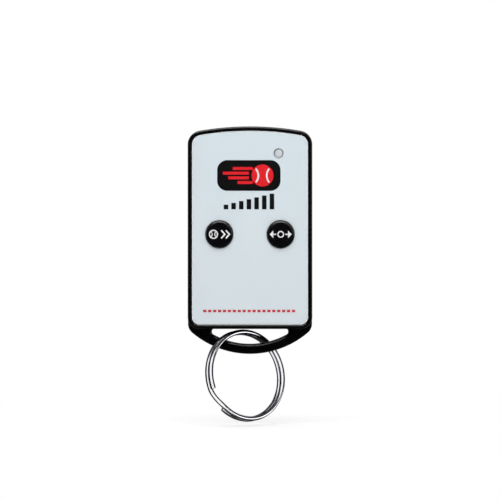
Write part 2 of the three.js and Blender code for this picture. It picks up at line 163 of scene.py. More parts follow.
# ---- Buttons and lamp ----
BUTTON_RADIUS = 4.1
BUTTON_HOLE_RADIUS = 4.25
BUTTON_HOLE_EDGE = 0.1
BUTTON_EDGE_WIDTH = 0.85
BUTTON_EDGE_DROP = 0.62
BUTTON_FLANGE_FRONT = 10.8
LAMP_RADIUS = 1.4
LAMP_DOME_HEIGHT = 0.9
LAMP_DOME_STEPS = 16
LAMP_HOLE_RADIUS = 1.5
LAMP_HOLE_EDGE = 0.05
LAMP_FLANGE_FRONT = 8.4

# ---- Split ring ----
RING_CENTRE = Vector((-1.4, -9.3, -44.5))
RING_YAW = math.radians(35.4)
RING_LEAN = math.radians(-10)
RING_MID_RADIUS = 13.15
WIRE_RADIUS = 0.75
STRAND_PITCH = 1.65
RING_TURNS = 720
RING_START = 196.5
CROSSOVER = 30.5
RING_STEPS = 420
WIRE_STEPS = 28
WIRE_END_EDGE = 0.22

# ---- Mesh fineness ----
CORNER_STEPS = 20
LONG_ARC_STEPS = 48
EDGE_STEPS = 8
TONGUE_EDGE_STEPS = 3
ROUND_STEPS = 96
SMALL_ROUND_STEPS = 48
SHARP_ANGLE = math.radians(35)
LARGEST_FACE_WEIGHT = 100
QUARTER = math.pi / 2
BEYOND = 1
SIDES = (-1, 1)


# ==== Mesh tools ====


def place(x, depth, z):
    return Vector((x, -depth, z)) * MM


def arc(centre_x, centre_z, radius, start, end, steps):
    """Points along an arc in X and Z, both ends included."""
    angles = [start + (end - start) * step / steps for step in range(steps + 1)]
    return [(centre_x + radius * math.cos(a), centre_z + radius * math.sin(a)) for a in angles]


def to_object(name, mesh_data):
    """Turns a bmesh into a linked object with its faces pointing out."""
    bmesh.ops.recalc_face_normals(mesh_data, faces=mesh_data.faces)
    mesh = bpy.data.meshes.new(name)
    mesh_data.to_mesh(mesh)
    mesh_data.free()
    obj = bpy.data.objects.new(name, mesh)
    bpy.context.scene.collection.objects.link(obj)
    return obj


def bridge(mesh_data, first, second):
    """Faces between two rings of vertices. A ring of one vertex is a pole."""
    count = max(len(first), len(second))
    for here in range(count):
        after = (here + 1) % count
        face = [first[here % len(first)], first[after % len(first)]]
        face += [second[after % len(second)], second[here % len(second)]]
        mesh_data.faces.new(dict.fromkeys(face))


def loft(name, outline, rows):
    """A closed solid through one outline, moved inwards and forwards row by row, with flat ends."""
    mesh_data = bmesh.new()
    rings = []
    for inset, depth in rows:
        rings.append([mesh_data.verts.new(place(x, depth, z)) for x, z in outline(inset)])
    for first, second in zip(rings, rings[1:]):
        bridge(mesh_data, first, second)
    mesh_data.faces.new(rings[0])
    mesh_data.faces.new(rings[-1])
    return to_object(name, mesh_data)


def turned(name, profile, x, z, steps=ROUND_STEPS):
    """A closed solid of revolution from (radius, depth) points, round an axis along the depth."""
    mesh_data = bmesh.new()
    rings = []
    for radius, depth in profile:
        if radius == 0:
            rings.append([mesh_data.verts.new(place(x, depth, z))])
            continue
        circle = arc(x, z, radius, 0, 2 * math.pi, steps)[:-1]
        rings.append([mesh_data.verts.new(place(px, depth, pz)) for px, pz in circle])
    for first, second in zip(rings, rings[1:]):
        bridge(mesh_data, first, second)
    for end in (rings[0], rings[-1]):
        if len(end) > 1:
            mesh_data.faces.new(end)
    return to_object(name, mesh_data)


def post(x, z, radius, back, front):
    return turned("post", [(radius, back), (radius, front)], x, z, SMALL_ROUND_STEPS)


def round_over(inset, front, width, drop, steps=EDGE_STEPS):
    """Rows round a convex edge, from the side (at this inset) to the front face."""
    angles = [QUARTER * step / steps for step in range(steps + 1)]
    return [
        (inset + width * (1 - math.cos(a)), front - drop * (1 - math.sin(a))) for a in angles
    ]


def flared_hole(x, z, radius, back, front, edge):
    """A round cutter that leaves a rounded rim where it comes out at the front."""
    rim = [(radius - inset, depth) for inset, depth in round_over(0, front, -edge, edge)]
    return turned("hole", [(radius, back), *rim, (radius + edge, front + BEYOND)], x, z)


def combine(target, tool, operation):
    """Joins or cuts target with tool, and keeps only the result."""
    modifier = target.modifiers.new("combine", "BOOLEAN")
    modifier.operation = operation
    modifier.solver = "MANIFOLD"
    modifier.object = tool
    depsgraph = bpy.context.evaluated_depsgraph_get()
    result = bpy.data.meshes.new_from_object(target.evaluated_get(depsgraph))
    target.modifiers.clear()
    before, target.data = target.data, result
    bpy.data.meshes.remove(before)
    used = tool.data
    bpy.data.objects.remove(tool)
    bpy.data.meshes.remove(used)


def join(target, *tools):
    for tool in tools:
        combine(target, tool, "UNION")


def cut(target, *tools):
    for tool in tools:
        combine(target, tool, "DIFFERENCE")


def join_posts(target, places, radius, back, front):
    for x, z in places:
        join(target, post(x, z, radius, back, front))


def drill(target, places, radius, back, front):
    for x, z in places:
        cut(target, post(x, z, radius, back, front))


def polish(obj):
    """Smooth shading that stays crisp at hard edges and flat on flat faces."""
    obj.data.shade_smooth()
    obj.data.set_sharp_from_angle(angle=SHARP_ANGLE)
    modifier = obj.modifiers.new("normals", "WEIGHTED_NORMAL")
    modifier.keep_sharp = True
    modifier.weight = LARGEST_FACE_WEIGHT


# ==== Outlines ====


def case_outline(inset=0.0):
    """The case seen from the front, moved inwards: straight sides, an arched top, round corners."""
    side = HALF_WIDTH - inset
    bottom = CASE_BOTTOM + inset
    arc_radius = TOP_ARC_RADIUS - inset
    arc_z = TOP - TOP_ARC_RADIUS
    top_radius = max(TOP_CORNER - inset, LEAST_CORNER)
    low_radius = max(BOTTOM_CORNER - inset, LEAST_CORNER)
    top_x = side - top_radius
    top_z = arc_z + math.sqrt((arc_radius - top_radius) ** 2 - top_x**2)
    tangent = math.atan2(top_z - arc_z, top_x)
    low_x = side - low_radius
    low_z = bottom + low_radius
    return (
        arc(top_x, top_z, top_radius, 0, tangent, CORNER_STEPS)
        + arc(0, arc_z, arc_radius, tangent, math.pi - tangent, LONG_ARC_STEPS)[1:-1]
        + arc(-top_x, top_z, top_radius, math.pi - tangent, math.pi, CORNER_STEPS)
        + arc(-low_x, low_z, low_radius, math.pi, 3 * QUARTER, CORNER_STEPS)
        + arc(low_x, low_z, low_radius, -QUARTER, 0, CORNER_STEPS)
    )


def tab_outline(inset=0.0):
    """The tab: the case's sides carried down into a wide arc."""
    side = HALF_WIDTH - TAB_SIDE_STEP - inset
    radius = TAB_ARC_RADIUS - inset
    corner = TAB_CORNER - inset
    arc_z = TAB_BOTTOM + TAB_ARC_RADIUS
    corner_x = side - corner
    drop = math.sqrt((radius - corner) ** 2 - corner_x**2)
    tangent = math.atan2(drop, corner_x)
    corner_z = arc_z - drop
    return (
        [(side, TAB_ROOT), (-side, TAB_ROOT)]
        + arc(-corner_x, corner_z, corner, math.pi, math.pi + tangent, CORNER_STEPS)
        + arc(0, arc_z, radius, math.pi + tangent, 2 * math.pi - tangent, LONG_ARC_STEPS)[1:-1]
        + arc(corner_x, corner_z, corner, -tangent, 0, CORNER_STEPS)
    )


def slot_outline(inset=0.0):
    """The slot: a straight top edge against the case, round ends and an arched lower edge."""
    corner = SLOT_CORNER - inset
    radius = SLOT_ARC_RADIUS - inset
    end_x = SLOT_HALF_LENGTH - SLOT_CORNER
    upper_z = CASE_BOTTOM - SLOT_CORNER
    drop = math.sqrt((SLOT_ARC_RADIUS - SLOT_CORNER) ** 2 - end_x**2)
    tangent = math.atan2(drop, end_x)
    lower_z = SLOT_ARC_Z - drop
    return (
        arc(-end_x, upper_z, corner, QUARTER, math.pi, CORNER_STEPS)
        + arc(-end_x, lower_z, corner, math.pi, math.pi + tangent, CORNER_STEPS)
        + arc(0, SLOT_ARC_Z, radius, math.pi + tangent, 2 * math.pi - tangent, LONG_ARC_STEPS)[1:-1]
        + arc(end_x, lower_z, corner, -tangent, 0, CORNER_STEPS)
        + arc(end_x, upper_z, corner, 0, QUARTER, CORNER_STEPS)
    )


def rectangle_outline(low_x, low_z, high_x, high_z, corner):
    """An outline function for a rectangle with round corners."""

    def outline(inset=0.0):
        radius = corner - inset
        right = high_x - corner
        left = low_x + corner
        top = high_z - corner
        bottom = low_z + corner
        return (
            arc(right, top, radius, 0, QUARTER, CORNER_STEPS)
            + arc(left, top, radius, QUARTER, math.pi, CORNER_STEPS)
            + arc(left, bottom, radius, math.pi, 3 * QUARTER, CORNER_STEPS)
            + arc(right, bottom, radius, -QUARTER, 0, CORNER_STEPS)
        )

    return outline


# ==== Materials ====


def feed(tree, socket, value):
    """Sets a socket to a number or colour, or links it to another node's output."""
    if isinstance(value, bpy.types.NodeSocket):
        tree.links.new(value, socket)
    else:
        socket.default_value = value


def add_node(tree, kind, **inputs):
    """A new shader node. An input's name has _ for each space."""
    node = tree.nodes.new(kind)
    for key, value in inputs.items():
        feed(tree, node.inputs[key.replace("_", " ")], value)
    return node


def add_ramp(tree, factor, stops):
    """A colour ramp through (position, colour) stops."""
    ramp = add_node(tree, "ShaderNodeValToRGB", Fac=factor)
    elements = ramp.color_ramp.elements
    for index, (position, tone) in enumerate(stops):
        element = elements[index] if index < len(elements) else elements.new(position)
        element.position = position
        element.color = (*tone, 1)
    return ramp.outputs["Color"]


class Surface:
    """One procedural material. Sizes of its patterns are in millimetres on the object."""

    def __init__(self, name, tone, roughness, metallic=0.0, **inputs):
        self.material = bpy.data.materials.new(name)
        self.material.use_nodes = True
        self.tree = self.material.node_tree
        self.shader = self.tree.nodes["Principled BSDF"]
        self.position = self.node("TexCoord").outputs["Object"]
        inputs = {"Base_Color": (*tone, 1), "Roughness": roughness, "Metallic": metallic, **inputs}
        for key, value in inputs.items():
            self.set(key.replace("_", " "), value)

    def set(self, name, value):
        """Sets or links one input of the material's shader."""
        feed(self.tree, self.shader.inputs[name], value)

    def node(self, kind, **inputs):
        return add_node(self.tree, "ShaderNode" + kind, **inputs)

    def noise(self, size, detail=3.0, stretch=(1, 1, 1), distortion=0.0):
        """Smooth noise whose features are about this size, squeezed by stretch along each axis."""
        place_on = self.node("Mapping", Scale=stretch, Vector=self.position).outputs["Vector"]
        scale = 1 / (size * MM)
        texture = self.node(
            "TexNoise", Scale=scale, Detail=detail, Distortion=distortion, Vector=place_on
        )
        return texture.outputs["Fac"]

    def cell_edges(self, size):
        """Distance to the nearest edge of a pattern of cells about this size."""
        texture = self.node("TexVoronoi", Vector=self.position)
        texture.feature = "DISTANCE_TO_EDGE"
        texture.inputs["Scale"].default_value = 1 / (size * MM)
        return texture.outputs["Distance"]

    def axis(self, name):
        """One coordinate of the object's space, in millimetres."""
        split = self.node("SeparateXYZ", Vector=self.position)
        return self.math("MULTIPLY", split.outputs[name], 1 / MM)

    def edge_on(self):
        """Rises from 0 where the surface faces the viewer to 1 where it is seen edge-on."""
        return self.node("LayerWeight", Blend=0.5).outputs["Facing"]

    def math(self, operation, first, second):
        node = self.node("Math")
        node.operation = operation
        feed(self.tree, node.inputs[0], first)
        feed(self.tree, node.inputs[1], second)
        return node.outputs["Value"]

    def spread(self, factor, low, high, start=0.3, end=0.7):
        """A factor between start and end, stretched to run from low to high."""
        reach = {"From_Min": start, "From_Max": end, "To_Min": low, "To_Max": high}
        return self.node("MapRange", Value=factor, **reach).outputs["Result"]

    def color(self, factor, *stops):
        """Base colour from a ramp of (position, colour) stops."""
        self.set("Base Color", add_ramp(self.tree, factor, stops))

    def wash(self, factor, tone):
        """Mixes one more tone into the base colour, all of it where the factor is 1."""
        before = self.shader.inputs["Base Color"].links[0].from_socket
        mix = self.node("MixRGB", Fac=factor, Color1=before, Color2=(*tone, 1))
        self.set("Base Color", mix.outputs["Color"])

    def shine(self, factor, low, high):
        """Roughness that varies from low to high."""
        self.set("Roughness", self.spread(factor, low, high))

    def bump(self, factor, height, strength):
        """Relief this many millimetres high, on top of any relief already there."""
        node = self.node("Bump", Strength=strength, Distance=height * MM, Height=factor)
        before = self.shader.inputs["Normal"].links
        if before:
            self.tree.links.new(before[0].from_socket, node.inputs["Normal"])
        self.set("Normal", node.outputs["Normal"])


def case_plastic():
    """Black moulded plastic with a fine spark-eroded texture and faint handling marks."""
    surface = Surface("case_plastic", (0.002, 0.002, 0.003), roughness=0.3, Specular_IOR_Level=0.45)
    handling = surface.noise(size=7, detail=6, distortion=0.4)
    surface.color(handling, (0.35, (0.0006, 0.0006, 0.001)), (0.7, (0.002, 0.002, 0.0028)))
    surface.shine(handling, low=0.15, high=0.24)
    surface.bump(surface.noise(size=0.16, detail=4), height=0.01, strength=0.4)
    surface.bump(surface.noise(size=1.4, detail=2), height=0.01, strength=0.15)
    return surface.material


PLATE_PATCH_CONTRAST = 0.22
# The plate's cut edge is wherever the surface turns away from straight ahead, the direction y = -1.
PLATE_EDGE_TURN_START = -0.999
PLATE_EDGE_TURN_END = -0.97


def plate_film():
    """Pale blue-grey printed film: painted light that makes it lighter and bluer towards the top,
    bright cut edges, faint smudges.
    """
    surface = Surface("plate_film", (0.64, 0.73, 0.79), roughness=0.42, Specular_IOR_Level=0.35)
    height = surface.spread(surface.axis("Z"), 0, 1, start=plate_low.z, end=plate_high.z)
    cloud = surface.noise(size=14, detail=2)
    patches = surface.math("MULTIPLY", cloud, PLATE_PATCH_CONTRAST)
    patches = surface.math("SUBTRACT", patches, PLATE_PATCH_CONTRAST / 2)
    # Painted light: lighter and bluer towards the top, where the light from above falls, with random
    # smudges over it.
    surface.color(
        surface.math("ADD", height, patches),
        (0.0, (0.655, 0.715, 0.755)),
        (0.45, (0.66, 0.735, 0.775)),
        (1.0, (0.655, 0.742, 0.79)),
    )
    facing = surface.node("NewGeometry").outputs["Normal"]
    forward = surface.node("SeparateXYZ", Vector=facing).outputs["Y"]
    edge = surface.spread(forward, 0, 1, start=PLATE_EDGE_TURN_START, end=PLATE_EDGE_TURN_END)
    surface.wash(edge, tone=(1, 1, 1))
    surface.shine(surface.noise(size=5, detail=5, distortion=0.5), low=0.36, high=0.5)
    surface.bump(surface.noise(size=0.12, detail=3), height=0.006, strength=0.25)
    surface.bump(surface.noise(size=9, detail=2), height=0.02, strength=0.2)
    return surface.material


def button_plastic():
    """Glossy black moulded caps, slightly scuffed by fingers."""
    surface = Surface("button_plastic", (0.002, 0.002, 0.003), roughness=0.2, Specular_IOR_Level=0.5)
    surface.shine(surface.noise(size=1.6, detail=6, distortion=0.8), low=0.16, high=0.28)
    surface.bump(surface.noise(size=0.25, detail=4), height=0.004, strength=0.3)
    surface.bump(surface.noise(size=1.8, detail=2), height=0.01, strength=0.2)
    return surface.material


def ink(name, tone, darker):
    """Screen-printed ink: nearly flat, with a slightly uneven coat."""
    surface = Surface(name, tone, roughness=0.4, Specular_IOR_Level=0.3)
    surface.color(surface.noise(size=0.5, detail=5), (0.3, darker), (0.6, tone))
    surface.shine(surface.noise(size=0.8, detail=4), low=0.32, high=0.48)
    surface.bump(surface.noise(size=0.15, detail=3), height=0.004, strength=0.4)
    return surface.material


MILK_CONTRAST = 0.12
# How fast the lamp's painted light changes per millimetre: lighter to the right, darker upwards.
PAINTED_LIGHT_SLOPE_X = 0.09
PAINTED_LIGHT_SLOPE_Z = 0.14


def clear_resin():
    """The lamp's cast epoxy: milky, with painted shade where it is seen edge-on and painted light
    pooled at its lower right.
    """
    tone = (0.5, 0.53, 0.56)
    surface = Surface("clear_resin", tone, roughness=0.15, IOR=1.5, Transmission_Weight=0.15)
    milk = surface.math("MULTIPLY", surface.noise(size=0.7, detail=3), MILK_CONTRAST)
    # Painted light: a pool of light at the lower right, with painted shadow towards the upper left.
    rightward = surface.math("SUBTRACT", surface.axis("X"), LAMP_X)
    upward = surface.math("SUBTRACT", surface.axis("Z"), LAMP_Z)
    rightward = surface.math("MULTIPLY", rightward, PAINTED_LIGHT_SLOPE_X)
    upward = surface.math("MULTIPLY", upward, PAINTED_LIGHT_SLOPE_Z)
    painted_light_pool = surface.math("SUBTRACT", upward, rightward)
    # Painted shade: darker where the lamp is seen edge-on, over a random milky tone and the painted
    # pool of light.
    surface.color(
        surface.math("ADD", surface.edge_on(), surface.math("ADD", milk, painted_light_pool)),
        (0.1, (0.72, 0.75, 0.78)),
        (0.45, (0.52, 0.56, 0.6)),
        (0.8, (0.2, 0.22, 0.26)),
    )
    surface.shine(surface.noise(size=0.5), low=0.1, high=0.22)
    surface.bump(surface.noise(size=0.4, detail=2), height=0.01, strength=0.2)
    return surface.material


NICKEL_PATCH_CONTRAST = 1.8
# Painted shade: a dark tint for the reflections where the wire is seen edge-on.
NICKEL_PAINTED_EDGE_SHADE = (0.1, 0.1, 0.12, 1)


def ring_nickel():
    """Bright nickel plate: cloudy patches, fine scratches, and painted dark reflections where it is
    seen edge-on.
    """
    surface = Surface("ring_nickel", (0.78, 0.77, 0.8), roughness=0.1, metallic=1.0)
    cloud = surface.noise(size=3.5, detail=4)
    patches = surface.math("SUBTRACT", cloud, 0.5)
    patches = surface.math("MULTIPLY", patches, NICKEL_PATCH_CONTRAST)
    # Painted reflections: bright nickel where the wire faces the viewer, near black edge-on, shifted
    # by random patches.
    surface.color(
        surface.math("ADD", surface.edge_on(), patches),
        (0.3, (0.86, 0.85, 0.88)),
        (0.5, (0.52, 0.51, 0.58)),
        (0.75, (0.06, 0.058, 0.075)),
    )
    surface.set("Specular Tint", NICKEL_PAINTED_EDGE_SHADE)
    surface.shine(cloud, low=0.06, high=0.16)
    surface.bump(surface.noise(size=0.3, detail=5, distortion=1.5), height=0.006, strength=0.3)
    surface.bump(surface.noise(size=3.0, detail=2), height=0.04, strength=0.2)
    return surface.material


METAL_SHADE = 0.82
METAL_SMOOTHEST = 0.75
METAL_ROUGHEST = 1.3


def plain_metal(name, tone, roughness, grain=(1, 1, 1)):
    """Plated or rolled metal, with a grain stretched as given."""
    surface = Surface(name, tone, roughness, metallic=1.0)
    brushed = surface.noise(size=0.5, detail=6, stretch=grain)
    darker = tuple(channel * METAL_SHADE for channel in tone)
    surface.color(brushed, (0.3, darker), (0.7, tone))
    surface.shine(brushed, low=roughness * METAL_SMOOTHEST, high=roughness * METAL_ROUGHEST)
    surface.bump(brushed, height=0.01, strength=0.3)
    return surface.material


def board_laminate():
    """Green solder mask over faint copper tracks."""
    surface = Surface("board_laminate", (0.02, 0.12, 0.05), roughness=0.35)
    tracks = surface.cell_edges(size=2.4)
    surface.color(tracks, (0.03, (0.04, 0.2, 0.08)), (0.06, (0.015, 0.1, 0.04)))
    surface.bump(tracks, height=0.03, strength=0.4)
    surface.shine(surface.noise(size=3), low=0.28, high=0.42)
    return surface.material


GRAIN_BRIGHTENING = 1.4


def moulded(name, tone, roughness):
    """Matt moulded or fired bodies of small components."""
    surface = Surface(name, tone, roughness)
    grain = surface.noise(size=0.2, detail=4)
    brighter = tuple(channel * GRAIN_BRIGHTENING for channel in tone)
    surface.color(grain, (0.3, tone), (0.7, brighter))
    surface.bump(grain, height=0.01, strength=0.4)
    return surface.material


def label_paper():
    """A blank satin label with a faint fibre."""
    surface = Surface("label_paper", (0.72, 0.73, 0.73), roughness=0.5)
    fibre = surface.noise(size=0.6, detail=6, stretch=(1, 1, 4))
    surface.color(fibre, (0.3, (0.66, 0.67, 0.67)), (0.7, (0.76, 0.77, 0.77)))
    surface.bump(fibre, height=0.006, strength=0.3)
    return surface.material


FINISHES = {
    "case_plastic": case_plastic(),
    "plate_film": plate_film(),
    "button_plastic": button_plastic(),
    "clear_resin": clear_resin(),
    "ring_nickel": ring_nickel(),
    "screw_steel": plain_metal("screw_steel", (0.56, 0.56, 0.58), 0.28),
    "cell_steel": plain_metal("cell_steel", (0.62, 0.62, 0.64), 0.25, grain=(1, 1, 12)),
    "spring_steel": plain_metal("spring_steel", (0.58, 0.57, 0.56), 0.3, grain=(1, 12, 12)),
    "tinned_metal": plain_metal("tinned_metal", (0.62, 0.62, 0.64), 0.38),
    "copper": plain_metal("copper", (0.78, 0.36, 0.2), 0.3),
    "board_laminate": board_laminate(),
    "chip_plastic": moulded("chip_plastic", (0.012, 0.012, 0.013), 0.55),
    "ceramic_body": moulded("ceramic_body", (0.36, 0.25, 0.14), 0.5),
    "label_paper": label_paper(),
}
BLACK_INK = ink("black_ink", (0.003, 0.003, 0.004), (0.0015, 0.0015, 0.002))
RED_INK = ink("red_ink", (0.78, 0.012, 0.02), (0.66, 0.008, 0.014))
DULL_RED_INK = ink("dull_red_ink", (0.56, 0.035, 0.04), (0.46, 0.03, 0.035))
WHITE_INK = ink("white_ink", (0.82, 0.82, 0.82), (0.7, 0.7, 0.71))

SLOT_OF = {part["node"]: part["material_slot"] for part in frame["record"]["subparts"]}
BODIES = frame["record"]["behaviour"]["bodies"]
BODY_OF = {node: body for body, nodes in BODIES.items() for node in nodes}


def paint(obj, material):
    obj.data.materials.clear()
    obj.data.materials.append(material)


def attach(obj, node, material):
    """Gives a new piece its material, and the body of a CAD node."""
    paint(obj, material)
    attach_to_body(obj, BODY_OF[node])


def stand_for(node, obj):
    """Lets a new piece stand for a CAD node, in the finish of that node's slot."""
    polish(obj)
    attach(obj, node, FINISHES[SLOT_OF[node]])
    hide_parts(node)


# ==== Case shells ====


def rim_bead():
    """Rows over the rounded rim, from the plate's recess to the outer side."""
    rows = []
    for step in range(2 * EDGE_STEPS + 1):
        angle = math.pi * step / (2 * EDGE_STEPS)
        drop = BEAD_INNER_DROP if angle < QUARTER else BEAD_OUTER_DROP
        inset = BEAD_HALF_WIDTH * (1 + math.cos(angle))
        rows.append((inset, CREST - drop * (1 - math.sin(angle))))
    return rows


def parting_rows(parting, towards):
    """Rows from the side of a shell over the small chamfer at its parting face."""
    return [
        (0, parting + towards * 2 * PARTING_EDGE),
        (PARTING_EDGE / 4, parting + towards * PARTING_EDGE / 2),
        (PARTING_EDGE, parting),
    ]


def tab_half(parting, face, towards):
    """Half of the key-ring tab, from its parting face to its outer face, with its slot."""
    tab_edge = round_over(0, 0, TAB_EDGE, TAB_EDGE)
    outer = [(inset, face + towards * depth) for inset, depth in tab_edge]
    slot_edge = round_over(0, 0, SLOT_EDGE_WIDTH, SLOT_EDGE_DROP)
    flare = [(-inset, face + towards * depth) for inset, depth in slot_edge]
    start = parting_rows(parting, towards)[::-1]
    start_flare = [(-inset, depth) for inset, depth in start]
    half = loft("tab", tab_outline, start + outer)
    slot_rows = [(-PARTING_EDGE, parting - towards * BEYOND), *start_flare, *flare]
    slot_rows.append((-SLOT_EDGE_WIDTH, face + towards * BEYOND))
    cut(half, loft("slot", slot_outline, slot_rows))
    return half


def build_front_shell():
    recess = RIM_WIDTH - SEAT
    rows = [(recess, DECK_FRONT), (recess, CREST - BEAD_INNER_DROP - SEAT), *rim_bead()]
    shell = loft("front_case", case_outline, rows + parting_rows(FRONT_PARTING, 1))
    join(shell, tab_half(FRONT_PARTING, TAB_FRONT, 1))
    cavity = [
        (REBATE_INSET, FRONT_PARTING - BEYOND),
        (REBATE_INSET, REBATE_FRONT),
        (WALL, REBATE_FRONT),
        (WALL, DECK_BACK),
    ]
    cut(shell, loft("cavity", case_outline, cavity))
    in_deck = (DECK_BACK + DECK_FRONT) / 2
    join_posts(shell, SCREW_PLACES, FRONT_BOSS_RADIUS, FRONT_BOSS_BACK, in_deck)
    join_posts(shell, BOARD_POSTS, BOARD_POST_RADIUS, BOARD_FRONT + SEAT, in_deck)
    drill(shell, SCREW_PLACES, PILOT_HOLE_RADIUS, FRONT_BOSS_BACK - BEYOND, PILOT_HOLE_FRONT)
    through_deck = (DECK_BACK - BEYOND, CREST + BEYOND)
    drill(shell, BUTTON_CENTRES.values(), BUTTON_HOLE_RADIUS, *through_deck)
    drill(shell, [(LAMP_X, LAMP_Z)], LAMP_HOLE_RADIUS, *through_deck)
    stand_for("front_shell", shell)


def build_rear_shell():
    back_edge = [(inset, -depth) for inset, depth in round_over(0, 0, BACK_EDGE, BACK_EDGE)]
    rows = back_edge[::-1] + parting_rows(REAR_PARTING, -1)
    shell = loft("rear_case", case_outline, rows)
    join(shell, tab_half(REAR_PARTING, TAB_BACK, -1))
    tongue = [(TONGUE_INSET, BACK_WALL + BEYOND)]
    tongue += round_over(TONGUE_INSET, TONGUE_FRONT, TONGUE_EDGE, TONGUE_EDGE, TONGUE_EDGE_STEPS)
    join(shell, loft("tongue", case_outline, tongue))
    cut(shell, loft("cavity", case_outline, [(WALL, BACK_WALL), (WALL, CREST)]))
    join_posts(shell, SCREW_PLACES, REAR_BOSS_RADIUS, BACK_WALL / 2, REAR_BOSS_FRONT)
    join_posts(shell, BOARD_POSTS, BOARD_POST_RADIUS, BACK_WALL / 2, BOARD_BACK - SEAT)
    edge = round_over(0, 0, -COUNTERBORE_EDGE, COUNTERBORE_EDGE)
    mouth = [(COUNTERBORE_RADIUS, COUNTERBORE_FRONT)]
    mouth += [(COUNTERBORE_RADIUS - inset, -depth) for inset, depth in edge]
    mouth.append((COUNTERBORE_RADIUS + COUNTERBORE_EDGE, -BEYOND))
    for x, z in SCREW_PLACES:
        cut(shell, turned("counterbore", mouth, x, z))
        cut(shell, post(x, z, CLEARANCE_HOLE_RADIUS, BEYOND, REAR_BOSS_FRONT + BEYOND))
    cut(shell, label_recess())
    stand_for("rear_shell", shell)


# ==== Label on the back ====

LABEL_CLEARANCE = 0.1
LABEL_RECESS = 0.3
LABEL_CORNER = 1
LABEL_EDGE_WIDTH = 0.04
LABEL_EDGE_DROP = 0.05
LABEL_RECESS_EDGE = 0.12
LABEL_RECESS_STEPS = 4


def label_recess():
    gap = LABEL_CLEARANCE
    outline = rectangle_outline(
        label_low.x - gap, label_low.z - gap, label_high.x + gap, label_high.z + gap, LABEL_CORNER
    )
    edge = round_over(0, 0, LABEL_RECESS_EDGE, LABEL_RECESS_EDGE, LABEL_RECESS_STEPS)
    flare = [(-inset, -depth) for inset, depth in edge]
    return loft("recess", outline, [(0, LABEL_RECESS), *flare, (-LABEL_RECESS_EDGE, -BEYOND)])


def build_label():
    outline = rectangle_outline(label_low.x, label_low.z, label_high.x, label_high.z, LABEL_CORNER)
    back, front = -label_high.y, -label_low.y
    rows = [(0, front), (0, back + LABEL_EDGE_DROP), (LABEL_EDGE_WIDTH, back)]
    label = loft("blank_label", outline, rows)
    stand_for("rear_label", label)


# ==== Front plate ====

PLATE_EDGE_WIDTH = 0.3
PLATE_EDGE_DROP = 0.14


def build_faceplate():
    edge = round_over(RIM_WIDTH, PLATE_FRONT, PLATE_EDGE_WIDTH, PLATE_EDGE_DROP)
    rows = [(RIM_WIDTH, PLATE_BACK), *edge]
    plate = loft("front_plate", case_outline, rows)
    holes = [(x, z, BUTTON_HOLE_RADIUS, BUTTON_HOLE_EDGE) for x, z in BUTTON_CENTRES.values()]
    holes.append((LAMP_X, LAMP_Z, LAMP_HOLE_RADIUS, LAMP_HOLE_EDGE))
    for x, z, radius, hole_edge in holes:
        cut(plate, flared_hole(x, z, radius, PLATE_BACK - BEYOND, PLATE_FRONT, hole_edge))
    stand_for("faceplate", plate)


# ==== Buttons ====


def build_button(name):
    x, z = BUTTON_CENTRES[name]
    edge = round_over(0, BUTTON_FRONT, BUTTON_EDGE_WIDTH, BUTTON_EDGE_DROP)
    profile = [(0, BUTTON_FRONT)]
    profile += [(BUTTON_RADIUS - inset, depth) for inset, depth in reversed(edge)]
    profile += [
        (BUTTON_RADIUS, BUTTON_FLANGE_FRONT),
        (BUTTON_FLANGE_RADIUS, BUTTON_FLANGE_FRONT),
        (BUTTON_FLANGE_RADIUS, BUTTON_BACK),
        (0, BUTTON_BACK),
    ]
    cap = turned(name + "_cap", profile, x, z)
    stand_for(name, cap)


# ==== Lamp ====


def build_lamp():
    dome = round_over(0, LAMP_FRONT, LAMP_RADIUS, LAMP_DOME_HEIGHT, LAMP_DOME_STEPS)
    profile = [(LAMP_RADIUS - inset, depth) for inset, depth in reversed(dome)]
    profile[0] = (0, LAMP_FRONT)
    profile += [
        (LAMP_RADIUS, LAMP_FLANGE_FRONT),
        (LAMP_FLANGE_RADIUS, LAMP_FLANGE_FRONT),
        (LAMP_FLANGE_RADIUS, LAMP_BACK),
        (0, LAMP_BACK),
    ]
    lamp = turned("lamp", profile, LAMP_X, LAMP_Z, SMALL_ROUND_STEPS)
    stand_for("led_lens", lamp)


# ==== Case screws ====

SCREW_SHANK_RADIUS = 0.9
SCREW_ROOT_RADIUS = 0.7
SCREW_TIP_RADIUS = 0.36
SCREW_TIP_LENGTH = 0.5
SCREW_LEAD_LENGTH = 1
THREAD_PITCH = 0.7
SCREW_HEAD_FRONT = 1.65
SCREW_DOME_WIDTH = 0.9
SCREW_DOME_DROP = 0.55
SCREW_CROSS_HALF_LENGTH = 0.95
SCREW_CROSS_HALF_WIDTH = 0.3
SCREW_CROSS_DEPTH = 0.75
SCREW_CROSS_TAPER = 0.8
SCREW_CROSS_FLARE = 0.1
SCREW_CROSS_START = 0.3


def cross_outline(inset=0.0):
    """A plus sign, the mouth of the driver recess. An inset narrows and shortens its arms."""
    long, short = SCREW_CROSS_HALF_LENGTH - inset, SCREW_CROSS_HALF_WIDTH - inset / 4
    quarter = [(long, -short), (long, short), (short, short)]
    points = []
    for turn in range(4):
        cosine, sine = round(math.cos(turn * QUARTER)), round(math.sin(turn * QUARTER))
        points += [(px * cosine - pz * sine, px * sine + pz * cosine) for px, pz in quarter]
    return points


def screw_profile(head_radius, head_back, tip):
    """From the tip along the threads, then over the domed head."""
    profile = [(0, tip), (SCREW_TIP_RADIUS, tip - SCREW_TIP_LENGTH)]
    depth = tip - SCREW_LEAD_LENGTH
    while depth > SCREW_HEAD_FRONT + THREAD_PITCH:
        profile.append((SCREW_SHANK_RADIUS, depth))
        profile.append((SCREW_ROOT_RADIUS, depth - THREAD_PITCH / 2))
        depth -= THREAD_PITCH
    profile.append((SCREW_ROOT_RADIUS, SCREW_HEAD_FRONT))
    profile.append((head_radius, SCREW_HEAD_FRONT))
    dome = round_over(0, 0, SCREW_DOME_WIDTH, SCREW_DOME_DROP)
    profile += [(head_radius - inset, head_back - depth) for inset, depth in dome]
    return profile


